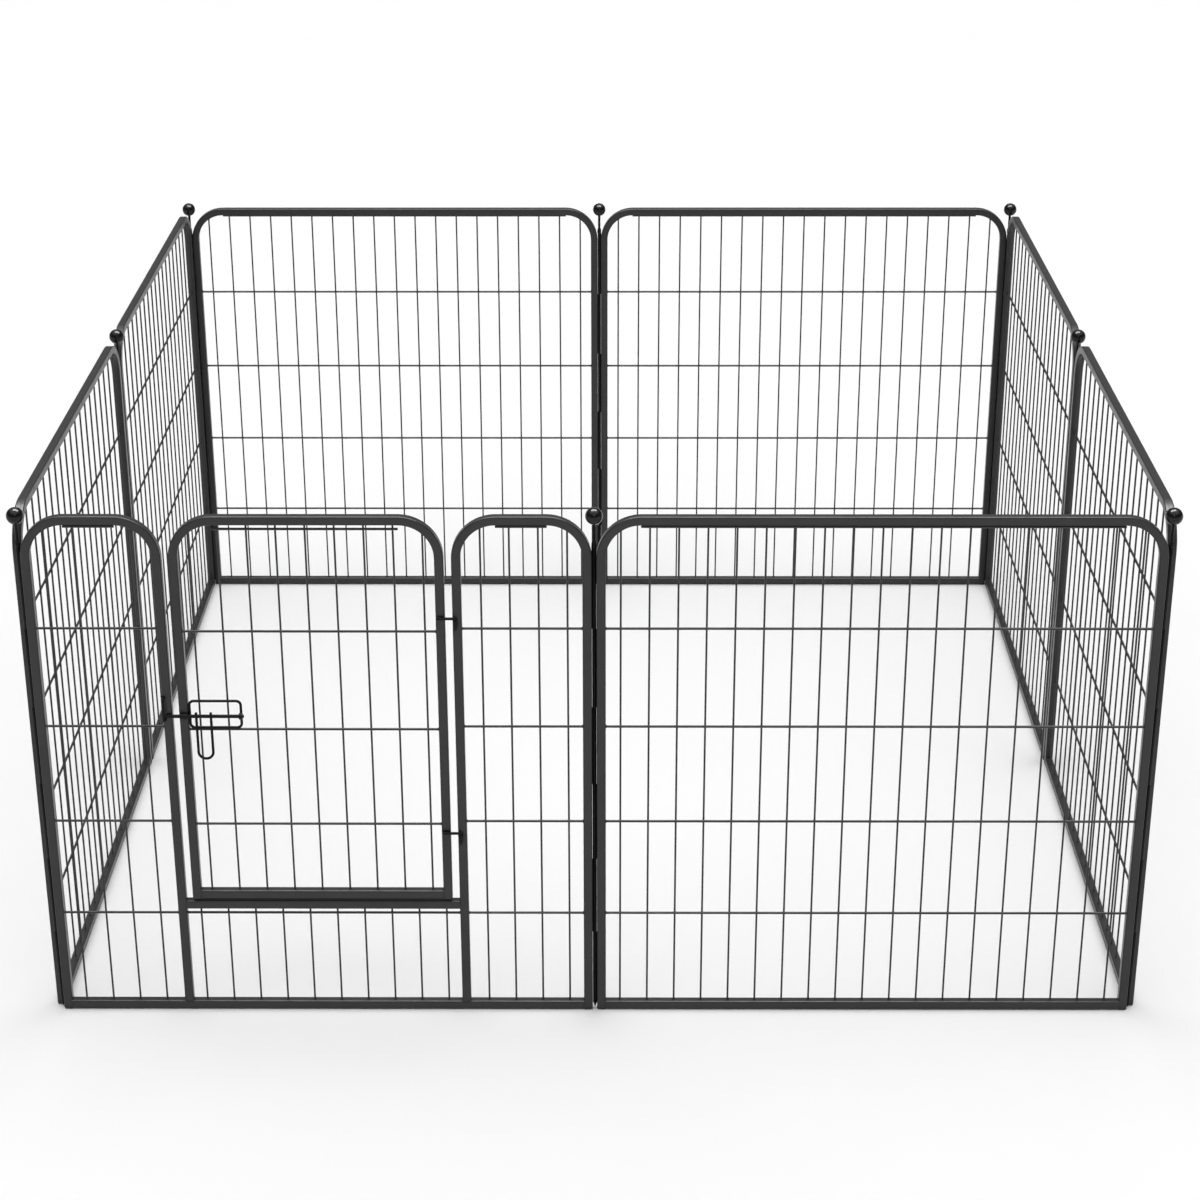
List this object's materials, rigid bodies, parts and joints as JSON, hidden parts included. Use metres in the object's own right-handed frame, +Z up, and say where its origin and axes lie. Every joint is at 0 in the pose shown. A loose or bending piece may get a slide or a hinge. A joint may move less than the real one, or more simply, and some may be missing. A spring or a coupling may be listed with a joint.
{
  "type": "pet playpen",
  "caption": "Square folding metal pet playpen of wire panels with bent tube frames, ball-topped hinge pins at the seams and a latched gate.",
  "frame": {"origin": "on the floor, at the middle of the pen's outer box", "axes": "+Z up, +X to the right and +Y to the back, as seen from the side with the gate"},
  "size_m": [1.2437, 1.2492, 0.6175],
  "materials": {
    "tube_coat": "satin",
    "wire_coat": "satin",
    "fitting_coat": "satin",
    "pin_gloss": "gloss",
    "foot_plastic": "matte"
  },
  "bodies": {
    "gate_panel": {"front_left_latch_side_arch": "tube_coat", "front_left_hinge_side_arch": "tube_coat", "front_left_bottom_rail": "tube_coat", "front_left_threshold_rail": "tube_coat", "front_left_side_grilles": "wire_coat", "front_left_low_grille": "wire_coat", "front_left_hinge_knuckles": "fitting_coat", "front_left_foot_plugs": "foot_plastic", "front_left_gate_hinge_eyes": "fitting_coat", "front_left_bolt_keeper": "fitting_coat"},
    "front_right_panel": {"front_right_frame_tube": "tube_coat", "front_right_bottom_rail": "tube_coat", "front_right_wire_grille": "wire_coat", "front_right_hinge_knuckles": "fitting_coat", "front_right_foot_plugs": "foot_plastic"},
    "right_front_panel": {"right_front_frame_tube": "tube_coat", "right_front_bottom_rail": "tube_coat", "right_front_wire_grille": "wire_coat", "right_front_hinge_knuckles": "fitting_coat", "right_front_foot_plugs": "foot_plastic"},
    "right_back_panel": {"right_back_frame_tube": "tube_coat", "right_back_bottom_rail": "tube_coat", "right_back_wire_grille": "wire_coat", "right_back_hinge_knuckles": "fitting_coat", "right_back_foot_plugs": "foot_plastic"},
    "back_right_panel": {"back_right_frame_tube": "tube_coat", "back_right_bottom_rail": "tube_coat", "back_right_wire_grille": "wire_coat", "back_right_hinge_knuckles": "fitting_coat", "back_right_foot_plugs": "foot_plastic"},
    "back_left_panel": {"back_left_frame_tube": "tube_coat", "back_left_bottom_rail": "tube_coat", "back_left_wire_grille": "wire_coat", "back_left_hinge_knuckles": "fitting_coat", "back_left_foot_plugs": "foot_plastic"},
    "left_back_panel": {"left_back_frame_tube": "tube_coat", "left_back_bottom_rail": "tube_coat", "left_back_wire_grille": "wire_coat", "left_back_hinge_knuckles": "fitting_coat", "left_back_foot_plugs": "foot_plastic"},
    "left_front_panel": {"left_front_frame_tube": "tube_coat", "left_front_bottom_rail": "tube_coat", "left_front_wire_grille": "wire_coat", "left_front_hinge_knuckles": "fitting_coat", "left_front_foot_plugs": "foot_plastic"},
    "gate_leaf": {"leaf_tube": "tube_coat", "leaf_bottom_rail": "tube_coat", "leaf_grille": "wire_coat", "leaf_pintles": "fitting_coat", "bolt_bracket": "fitting_coat"},
    "latch_bolt": {"latch_bolt": "fitting_coat"},
    "latch_handle": {"latch_handle": "fitting_coat"},
    "front_left_corner_pin": {"front_left_corner_pin": "pin_gloss"},
    "front_middle_pin": {"front_middle_pin": "pin_gloss"},
    "front_right_corner_pin": {"front_right_corner_pin": "pin_gloss"},
    "right_middle_pin": {"right_middle_pin": "pin_gloss"},
    "back_right_corner_pin": {"back_right_corner_pin": "pin_gloss"},
    "back_middle_pin": {"back_middle_pin": "pin_gloss"},
    "back_left_corner_pin": {"back_left_corner_pin": "pin_gloss"},
    "left_middle_pin": {"left_middle_pin": "pin_gloss"}
  },
  "joints": [
    {"name": "fold_front_left_corner", "type": "hinge", "parent": "gate_panel", "child": "left_front_panel", "pos_m": [-0.6124, -0.6097, 0], "axis": [0, 0, 1], "range_deg": [0, 90]},
    {"name": "fold_left_middle", "type": "hinge", "parent": "left_front_panel", "child": "left_back_panel", "pos_m": [-0.6124, 0.0027, 0], "axis": [0, 0, 1], "range_deg": [-90, 0]},
    {"name": "fold_back_left_corner", "type": "hinge", "parent": "left_back_panel", "child": "back_left_panel", "pos_m": [-0.6124, 0.6151, 0], "axis": [0, 0, 1], "range_deg": [0, 90]},
    {"name": "fold_back_middle", "type": "hinge", "parent": "back_left_panel", "child": "back_right_panel", "pos_m": [0, 0.6151, 0], "axis": [0, 0, 1], "range_deg": [-90, 0]},
    {"name": "fold_front_middle", "type": "hinge", "parent": "gate_panel", "child": "front_right_panel", "pos_m": [0, -0.6097, 0], "axis": [0, 0, 1], "range_deg": [0, 90]},
    {"name": "fold_front_right_corner", "type": "hinge", "parent": "front_right_panel", "child": "right_front_panel", "pos_m": [0.6124, -0.6097, 0], "axis": [0, 0, 1], "range_deg": [-90, 0]},
    {"name": "fold_right_middle", "type": "hinge", "parent": "right_front_panel", "child": "right_back_panel", "pos_m": [0.6124, 0.0027, 0], "axis": [0, 0, 1], "range_deg": [0, 90]},
    {"name": "gate_swing", "type": "hinge", "parent": "gate_panel", "child": "gate_leaf", "pos_m": [-0.1489, -0.6196, 0.3625], "axis": [0, 0, 1], "range_deg": [0, 150]},
    {"name": "bolt_slide", "type": "slide", "parent": "gate_leaf", "child": "latch_bolt", "axis": [1, 0, 0], "range_m": [-0.0045, 0.017]},
    {"name": "handle_lift", "type": "hinge", "parent": "latch_bolt", "child": "latch_handle", "pos_m": [-0.431, -0.6192, 0.3765], "axis": [-1, 0, 0], "range_deg": [0, 75]},
    {"name": "front_left_corner_pin_lift", "type": "slide", "parent": "gate_panel", "child": "front_left_corner_pin", "axis": [0, 0, 1], "range_m": [0, 0.6]},
    {"name": "front_middle_pin_lift", "type": "slide", "parent": "gate_panel", "child": "front_middle_pin", "axis": [0, 0, 1], "range_m": [0, 0.6]},
    {"name": "front_right_corner_pin_lift", "type": "slide", "parent": "front_right_panel", "child": "front_right_corner_pin", "axis": [0, 0, 1], "range_m": [0, 0.6]},
    {"name": "right_middle_pin_lift", "type": "slide", "parent": "right_front_panel", "child": "right_middle_pin", "axis": [0, 0, 1], "range_m": [0, 0.6]},
    {"name": "back_right_corner_pin_lift", "type": "slide", "parent": "right_back_panel", "child": "back_right_corner_pin", "axis": [0, 0, 1], "range_m": [0, 0.6]},
    {"name": "back_middle_pin_lift", "type": "slide", "parent": "back_left_panel", "child": "back_middle_pin", "axis": [0, 0, 1], "range_m": [0, 0.6]},
    {"name": "back_left_corner_pin_lift", "type": "slide", "parent": "left_back_panel", "child": "back_left_corner_pin", "axis": [0, 0, 1], "range_m": [0, 0.6]},
    {"name": "left_middle_pin_lift", "type": "slide", "parent": "left_front_panel", "child": "left_middle_pin", "axis": [0, 0, 1], "range_m": [0, 0.6]}
  ],
  "couplings": [
    {"joint": "fold_left_middle", "follows": "fold_front_left_corner", "ratio": -1},
    {"joint": "fold_back_left_corner", "follows": "fold_front_left_corner", "ratio": 1},
    {"joint": "fold_back_middle", "follows": "fold_front_left_corner", "ratio": -1},
    {"joint": "fold_front_middle", "follows": "fold_front_left_corner", "ratio": 1},
    {"joint": "fold_front_right_corner", "follows": "fold_front_left_corner", "ratio": -1},
    {"joint": "fold_right_middle", "follows": "fold_front_left_corner", "ratio": 1}
  ]
}
